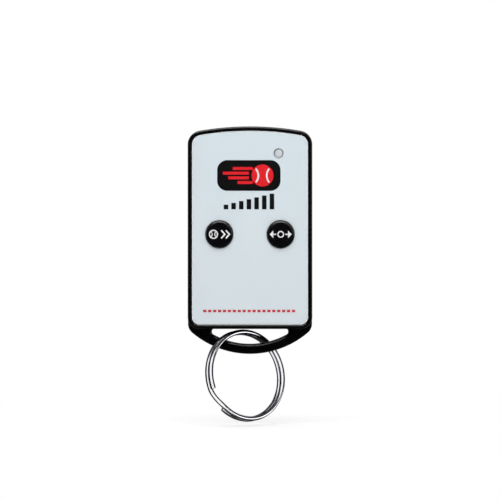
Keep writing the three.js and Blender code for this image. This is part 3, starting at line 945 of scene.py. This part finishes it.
def build_screw(name):
    low, high = corners(name)
    x, z = centre_of(name)
    head_back = -high.y
    profile = screw_profile((high.x - low.x) / 2, head_back, -low.y)
    screw = turned(name.replace("case_", "") + "_cap", profile, x, z, SMALL_ROUND_STEPS)

    def outline(inset=0.0):
        return [(x + px, z + pz) for px, pz in cross_outline(inset)]

    mouth = (-SCREW_CROSS_FLARE, head_back - SCREW_CROSS_START)
    floor = (SCREW_CROSS_TAPER, head_back + SCREW_CROSS_DEPTH)
    cut(screw, loft("cross", outline, [mouth, floor]))
    stand_for(name, screw)


# ==== Split ring ====


def smooth(value):
    value = min(max(value, 0), 1)
    return value * value * (3 - 2 * value)


def ring_stations(sweep):
    """(turn, wire radius) along the wire, with its two cut ends rounded over."""
    edge_turn = math.degrees(WIRE_END_EDGE / RING_MID_RADIUS)
    edge = []
    for step in range(EDGE_STEPS + 1):
        angle = QUARTER * step / EDGE_STEPS
        turn = edge_turn * (1 - math.sin(angle))
        edge.append((turn, WIRE_RADIUS - WIRE_END_EDGE * (1 - math.cos(angle))))
    turns = [sweep * step / RING_STEPS for step in range(1, RING_STEPS)]
    middle = [(turn, WIRE_RADIUS) for turn in turns if edge_turn < turn < sweep - edge_turn]
    finish = [(sweep - turn, radius) for turn, radius in edge]
    return edge[::-1] + middle + finish


def build_split_ring():
    to_frame = (
        Matrix.Translation(RING_CENTRE)
        @ Matrix.Rotation(RING_YAW, 4, "Z")
        @ Matrix.Rotation(RING_LEAN, 4, "X")
    )
    sweep = RING_TURNS - CROSSOVER
    mesh_data = bmesh.new()
    rings = []
    for turn, radius in ring_stations(sweep):
        angle = math.radians(RING_START - turn)
        crossed = smooth((turn - RING_TURNS / 2 + CROSSOVER) / CROSSOVER)
        forward = STRAND_PITCH * (0.5 - crossed)
        section = []
        circle = arc(forward, RING_MID_RADIUS, radius, 0, 2 * math.pi, WIRE_STEPS)[:-1]
        for axial, radial in circle:
            point = Vector((radial * math.cos(angle), -axial, radial * math.sin(angle)))
            section.append(mesh_data.verts.new(to_frame @ point * MM))
        rings.append(section)
    for first, second in zip(rings, rings[1:]):
        bridge(mesh_data, first, second)
    mesh_data.faces.new(rings[0])
    mesh_data.faces.new(rings[-1])
    ring = to_object("key_ring_wire", mesh_data)
    stand_for("split_ring", ring)
    return ring


# ==== Printed marks ====

INK_THICKNESS = 0.02
JOIN_DISTANCE = 0.001
LEAST_MITRE = 0.3
SEAM_RADIUS_SHARE = 0.95
SEAM_REACH_SHARE = 1.33
SEAM_HALF_ANGLE = math.radians(41)
SEAM_STEPS = 12


def stroke(points, width, closed=False):
    """Quads along a line of points, mitred at its bends."""
    count = len(points)
    edges = []
    for index, (x, z) in enumerate(points):
        before = points[index - 1] if closed or index else points[index]
        after = points[(index + 1) % count] if closed or index < count - 1 else points[index]
        first = Vector((x - before[0], z - before[1]))
        second = Vector((after[0] - x, after[1] - z))
        first = first.normalized() if first.length else second.normalized()
        second = second.normalized() if second.length else first
        middle = (first + second).normalized()
        reach = width / 2 / max(middle.dot(first), LEAST_MITRE)
        normal = Vector((-middle.y, middle.x)) * reach
        edges.append(((x + normal.x, z + normal.y), (x - normal.x, z - normal.y)))
    if closed:
        edges.append(edges[0])
    pairs = zip(edges, edges[1:])
    return [[left, right, far_right, far_left] for (left, right), (far_left, far_right) in pairs]


def disc(x, z, radius):
    return [arc(x, z, radius, 0, 2 * math.pi, SMALL_ROUND_STEPS)[:-1]]


def circle_line(x, z, radius, width):
    return stroke(arc(x, z, radius, 0, 2 * math.pi, SMALL_ROUND_STEPS)[:-1], width, closed=True)


def bar(low_x, low_z, high_x, high_z):
    return [[(low_x, low_z), (high_x, low_z), (high_x, high_z), (low_x, high_z)]]


def ball_seams(x, z, radius, width):
    """The two curved seams of a tennis ball, each an arc that meets its outline."""
    seam_radius = radius * SEAM_RADIUS_SHARE
    reach = radius * SEAM_REACH_SHARE
    half = SEAM_HALF_ANGLE
    right = arc(x + reach, z, seam_radius, math.pi - half, math.pi + half, SEAM_STEPS)
    left = arc(x - reach, z, seam_radius, -half, half, SEAM_STEPS)
    return stroke(right, width) + stroke(left, width)


def print_mark(name, polygons, depth, material, node="faceplate"):
    """A thin closed coat of ink at this depth, on the face of a CAD node."""
    mesh_data = bmesh.new()
    for polygon in polygons:
        mesh_data.faces.new([mesh_data.verts.new(place(x, depth, z)) for x, z in polygon])
    bmesh.ops.remove_doubles(mesh_data, verts=mesh_data.verts, dist=JOIN_DISTANCE * MM)
    made = bmesh.ops.extrude_face_region(mesh_data, geom=mesh_data.faces[:], use_keep_orig=True)
    lifted = [item for item in made["geom"] if isinstance(item, bmesh.types.BMVert)]
    bmesh.ops.translate(mesh_data, verts=lifted, vec=place(0, INK_THICKNESS, 0))
    attach(to_object(name, mesh_data), node, material)


BADGE_X = -0.35
BADGE_Z = 15.65
BADGE_HALF_WIDTH = 9.5
BADGE_HALF_HEIGHT = 4.6
BADGE_CORNER = 3
BADGE_BALL_OFFSET = 4.1
BADGE_BALL_RADIUS = 3.3
BADGE_SEAM_WIDTH = 0.5
SPEED_LINE_HEIGHT = 0.9
# Height of each speed line above the badge's middle, and its left and right end from there.
SPEED_LINES = ((2.1, -4.8, 1.2), (0.7, -7.8, 0), (-0.7, -6.2, 0), (-2.1, -3.4, 1.2))


def build_badge():
    """A generic badge: a ball with speed lines on a dark panel."""
    panel = rectangle_outline(
        BADGE_X - BADGE_HALF_WIDTH,
        BADGE_Z - BADGE_HALF_HEIGHT,
        BADGE_X + BADGE_HALF_WIDTH,
        BADGE_Z + BADGE_HALF_HEIGHT,
        BADGE_CORNER,
    )
    second = PLATE_FRONT + INK_THICKNESS
    third = second + INK_THICKNESS
    print_mark("badge_panel", [panel()], PLATE_FRONT, BLACK_INK)
    ball_x = BADGE_X + BADGE_BALL_OFFSET
    ball = disc(ball_x, BADGE_Z, BADGE_BALL_RADIUS)
    print_mark("badge_ball", ball, second, RED_INK)
    seams = ball_seams(ball_x, BADGE_Z, BADGE_BALL_RADIUS, BADGE_SEAM_WIDTH)
    print_mark("badge_ball_seams", seams, third, WHITE_INK)
    streaks = []
    for offset, left, right in SPEED_LINES:
        low = BADGE_Z + offset - SPEED_LINE_HEIGHT / 2
        streaks += bar(BADGE_X + left, low, BADGE_X + right, low + SPEED_LINE_HEIGHT)
    print_mark("badge_speed_lines", streaks, second, RED_INK)


RATE_BAR_COUNT = 7
RATE_BAR_PITCH = 2.3
RATE_BAR_WIDTH = 1.35
RATE_BARS_LEFT = -7.9
RATE_BARS_BOTTOM = 5.5
LOWEST_RATE_BAR = 1.4
RATE_BAR_RISE = 0.55


def build_rate_bars():
    """Bars of rising height below the badge, for the rate of feed."""
    bars = []
    for index in range(RATE_BAR_COUNT):
        x = RATE_BARS_LEFT + RATE_BAR_PITCH * index
        top = RATE_BARS_BOTTOM + LOWEST_RATE_BAR + RATE_BAR_RISE * index
        bars += bar(x, RATE_BARS_BOTTOM, x + RATE_BAR_WIDTH, top)
    print_mark("rate_bars", bars, PLATE_FRONT, BLACK_INK)


RULE_LEFT = -14.3
RULE_RIGHT = 13.8
RULE_Z = -25
RULE_WIDTH = 0.75
DASH_COUNT = 19
DASH_SHARE = 0.66


def build_dash_rule():
    """A broken red line near the bottom of the plate."""
    pitch = (RULE_RIGHT - RULE_LEFT) / DASH_COUNT
    low = RULE_Z - RULE_WIDTH / 2
    dashes = []
    for index in range(DASH_COUNT):
        x = RULE_LEFT + pitch * (index + (1 - DASH_SHARE) / 2)
        dashes += bar(x, low, x + pitch * DASH_SHARE, low + RULE_WIDTH)
    print_mark("dash_rule", dashes, PLATE_FRONT, DULL_RED_INK)


FEED_BALL_OFFSET = -1.75
FEED_BALL_RADIUS = 1.2
FEED_BALL_LINE = 0.36
FEED_SEAM_WIDTH = 0.28
CHEVRON_OFFSETS = (0.55, 1.95)
CHEVRON_LENGTH = 1.1
CHEVRON_HALF_HEIGHT = 1.2
CHEVRON_WIDTH = 0.44


def build_feed_symbol():
    """A ball and two chevrons, on the left button."""
    x, z = BUTTON_CENTRES["feed_button"]
    ball_x = x + FEED_BALL_OFFSET
    marks = circle_line(ball_x, z, FEED_BALL_RADIUS, FEED_BALL_LINE)
    inner_radius = FEED_BALL_RADIUS - FEED_BALL_LINE / 2
    marks += ball_seams(ball_x, z, inner_radius, FEED_SEAM_WIDTH)
    for offset in CHEVRON_OFFSETS:
        upper = (x + offset, z + CHEVRON_HALF_HEIGHT)
        point = (x + offset + CHEVRON_LENGTH, z)
        lower = (x + offset, z - CHEVRON_HALF_HEIGHT)
        marks += stroke([upper, point, lower], CHEVRON_WIDTH)
    print_mark("feed_symbol", marks, BUTTON_FRONT, WHITE_INK, "feed_button")


SWEEP_BALL_RADIUS = 0.85
SWEEP_BALL_LINE = 0.34
ARROW_START = 1.35
ARROW_HEAD_START = 2.2
ARROW_TIP = 3.3
ARROW_HALF_SHAFT = 0.18
ARROW_HALF_HEAD = 1.15


def build_sweep_symbol():
    """A ball between two arrows that point left and right, on the right button."""
    x, z = BUTTON_CENTRES["sweep_button"]
    marks = circle_line(x, z, SWEEP_BALL_RADIUS, SWEEP_BALL_LINE)
    arrow = [
        (ARROW_START, ARROW_HALF_SHAFT),
        (ARROW_HEAD_START, ARROW_HALF_SHAFT),
        (ARROW_HEAD_START, ARROW_HALF_HEAD),
        (ARROW_TIP, 0),
        (ARROW_HEAD_START, -ARROW_HALF_HEAD),
        (ARROW_HEAD_START, -ARROW_HALF_SHAFT),
        (ARROW_START, -ARROW_HALF_SHAFT),
    ]
    for side in SIDES:
        marks.append([(x + side * reach, z + height) for reach, height in arrow])
    print_mark("sweep_symbol", marks, BUTTON_FRONT, WHITE_INK, "sweep_button")


# ==== CAD nodes ====


def paint_cad_nodes():
    """Gives the CAD nodes their finishes. The ones inside the case stay in the visual model."""
    for node, slot in SLOT_OF.items():
        paint(frame["nodes"][node], FINISHES[slot])


# ==== Stage, light and camera ====

PICTURE_WIDTH = 150
CAMERA_LENS = 200
SENSOR_WIDTH = 36
CAMERA_HEIGHT = -6.7
FLOOR_GAP = 1.2
FLOOR_SIZE = 4000
FLOOR_TONE = (0.8, 0.8, 0.8)
FLOOR_ROUGHNESS = 0.9
FLOOR_SPECULAR = 0.1
WHITE = (1, 1, 1, 1)
FLOOR_FADE_START = 70
FLOOR_FADE_END = 150
FLOOR_LEAST_FADE = 0.65
# Stops of (height, brightness) up the dim room, from straight down at 0 to straight up at 1.
ROOM_TONES = ((0.0, 0.06), (0.42, 0.02), (0.5, 0.012), (0.6, 0.015), (1.0, 0.08))
BACK_WALL_START = 0.3
BACK_WALL_END = 0.9
BACK_WALL_TONE = 0.45


def mixed(tree, share, first, second):
    """The second shader over the first, by this share."""
    mix = add_node(tree, "ShaderNodeMixShader", Fac=share)
    tree.links.new(first, mix.inputs[1])
    tree.links.new(second, mix.inputs[2])
    return mix.outputs["Shader"]


def eased(tree, value, start, end, low, high):
    """A value between start and end, eased to run from low to high."""
    reach = {"From_Min": start, "From_Max": end, "To_Min": low, "To_Max": high}
    node = add_node(tree, "ShaderNodeMapRange", Value=value, **reach)
    node.interpolation_type = "SMOOTHSTEP"
    return node.outputs["Result"]


def camera_rays(tree):
    return tree.nodes.new("ShaderNodeLightPath").outputs["Is Camera Ray"]


def floor_paper():
    """Pale paper that fades into the white backdrop away from the object."""
    material = bpy.data.materials.new("floor")
    material.use_nodes = True
    tree = material.node_tree
    paper = tree.nodes["Principled BSDF"]
    paper.inputs["Base Color"].default_value = (*FLOOR_TONE, 1)
    paper.inputs["Roughness"].default_value = FLOOR_ROUGHNESS
    paper.inputs["Specular IOR Level"].default_value = FLOOR_SPECULAR
    backdrop = add_node(tree, "ShaderNodeEmission", Color=WHITE)
    distance = tree.nodes.new("ShaderNodeVectorMath")
    distance.operation = "LENGTH"
    position = tree.nodes.new("ShaderNodeNewGeometry").outputs["Position"]
    tree.links.new(position, distance.inputs[0])
    start, end = FLOOR_FADE_START * MM, FLOOR_FADE_END * MM
    fade = eased(tree, distance.outputs["Value"], start, end, FLOOR_LEAST_FADE, 1)
    seen = tree.nodes.new("ShaderNodeMath")
    seen.operation = "MULTIPLY"
    tree.links.new(fade, seen.inputs[0])
    tree.links.new(camera_rays(tree), seen.inputs[1])
    shader = mixed(tree, seen.outputs["Value"], paper.outputs["BSDF"], backdrop.outputs["Emission"])
    tree.links.new(shader, tree.nodes["Material Output"].inputs["Surface"])
    return material


def build_floor():
    mesh_data = bmesh.new()
    z = cad_low.z / MM - FLOOR_GAP
    far = FLOOR_SIZE
    square = [(-far, -far), (far, -far), (far, far), (-far, far)]
    mesh_data.faces.new([mesh_data.verts.new(place(x, depth, z)) for x, depth in square])
    floor = to_object("floor", mesh_data)
    floor.data.materials.append(floor_paper())
    floor.visible_glossy = False


def build_world():
    """White to the camera, and to the object a dim room with a pale wall behind."""
    world = bpy.data.worlds.new("studio")
    bpy.context.scene.world = world
    world.use_nodes = True
    tree = world.node_tree
    tree.nodes.clear()
    direction = tree.nodes.new("ShaderNodeTexCoord").outputs["Generated"]
    split = add_node(tree, "ShaderNodeSeparateXYZ", Vector=direction).outputs
    height = add_node(tree, "ShaderNodeMapRange", Value=split["Z"], From_Min=-1).outputs["Result"]
    stops = [(position, (tone, tone, tone)) for position, tone in ROOM_TONES]
    room = add_node(tree, "ShaderNodeBackground", Color=add_ramp(tree, height, stops))
    behind = eased(tree, split["Y"], BACK_WALL_START, BACK_WALL_END, 0, BACK_WALL_TONE)
    back_wall = add_node(tree, "ShaderNodeBackground", Strength=behind)
    both = tree.nodes.new("ShaderNodeAddShader")
    tree.links.new(room.outputs["Background"], both.inputs[0])
    tree.links.new(back_wall.outputs["Background"], both.inputs[1])
    white = add_node(tree, "ShaderNodeBackground", Color=WHITE).outputs["Background"]
    shader = mixed(tree, camera_rays(tree), both.outputs["Shader"], white)
    output = tree.nodes.new("ShaderNodeOutputWorld")
    tree.links.new(shader, output.inputs["Surface"])


def area_light(name, azimuth, elevation, distance, width, height, power):
    """A soft rectangle of light aimed at the object. Azimuth 0 is in front, 90 at the right."""
    data = bpy.data.lights.new(name, "AREA")
    data.shape = "RECTANGLE"
    data.size = width
    data.size_y = height
    data.energy = power
    light = bpy.data.objects.new(name, data)
    bpy.context.scene.collection.objects.link(light)
    turn, lift = math.radians(azimuth), math.radians(elevation)
    towards = Vector(
        (math.sin(turn) * math.cos(lift), -math.cos(turn) * math.cos(lift), math.sin(lift))
    )
    light.location = towards * distance
    light.rotation_mode = "QUATERNION"
    light.rotation_quaternion = towards.to_track_quat("Z", "Y")
    light.visible_camera = False
    return light


# Each light: name, azimuth, elevation, distance in metres, width, height, power in watts.
STUDIO_LIGHTS = (
    ("key", -10, 60, 0.9, 0.8, 0.28, 3.3),
    ("strip", 0, 40, 0.9, 1.1, 0.05, 2.3),
    ("fill", 55, 20, 1.1, 0.35, 0.9, 1.6),
    ("top", 0, 88, 0.8, 0.9, 0.9, 5.2),
    ("back_left", 215, 35, 1.0, 0.8, 0.6, 4),
    ("back_right", 130, 20, 1.0, 0.6, 0.8, 2.5),
    ("side_left", -95, 4, 0.8, 0.5, 0.5, 0.6),
    ("side_right", 95, 4, 0.8, 0.5, 0.5, 0.6),
)
RING_PANELS = (
    ("ring_front_panel", 0, 0, 0.5, 1.0, 1.1, 3.7),
    ("ring_right_panel", 74, -14, 0.5, 0.4, 0.25, 0.55),
    ("ring_back_panel", 180, 0, 0.5, 1.1, 1.1, 4.2),
)


def build_lights(ring):
    """Studio lights for everything but the ring, and white panels for the ring to mirror."""
    groups = (("not_ring", "EXCLUDE", STUDIO_LIGHTS), ("only_ring", "INCLUDE", RING_PANELS))
    for name, state, settings in groups:
        receivers = bpy.data.collections.new(name)
        receivers.objects.link(ring)
        receivers.collection_objects[0].light_linking.link_state = state
        for setting in settings:
            area_light(*setting).light_linking.receiver_collection = receivers


def build_camera():
    """The photograph's view: square on to the front, from far off."""
    data = bpy.data.cameras.new("camera")
    data.lens = CAMERA_LENS
    data.sensor_width = SENSOR_WIDTH
    camera = bpy.data.objects.new("camera", data)
    bpy.context.scene.collection.objects.link(camera)
    distance = PICTURE_WIDTH * CAMERA_LENS / SENSOR_WIDTH
    camera.location = place(0, PLATE_FRONT + distance, CAMERA_HEIGHT)
    camera.rotation_euler = (QUARTER, 0, 0)
    bpy.context.scene.camera = camera


# ==== Build ====

build_front_shell()
build_rear_shell()
build_faceplate()
build_label()
for button in BUTTON_CENTRES:
    build_button(button)
build_lamp()
build_screw("case_screw_left")
build_screw("case_screw_right")
key_ring = build_split_ring()
build_badge()
build_rate_bars()
build_dash_rule()
build_feed_symbol()
build_sweep_symbol()
paint_cad_nodes()
build_floor()
build_world()
build_lights(key_ring)
build_camera()
bpy.context.scene.view_settings.view_transform = "Standard"
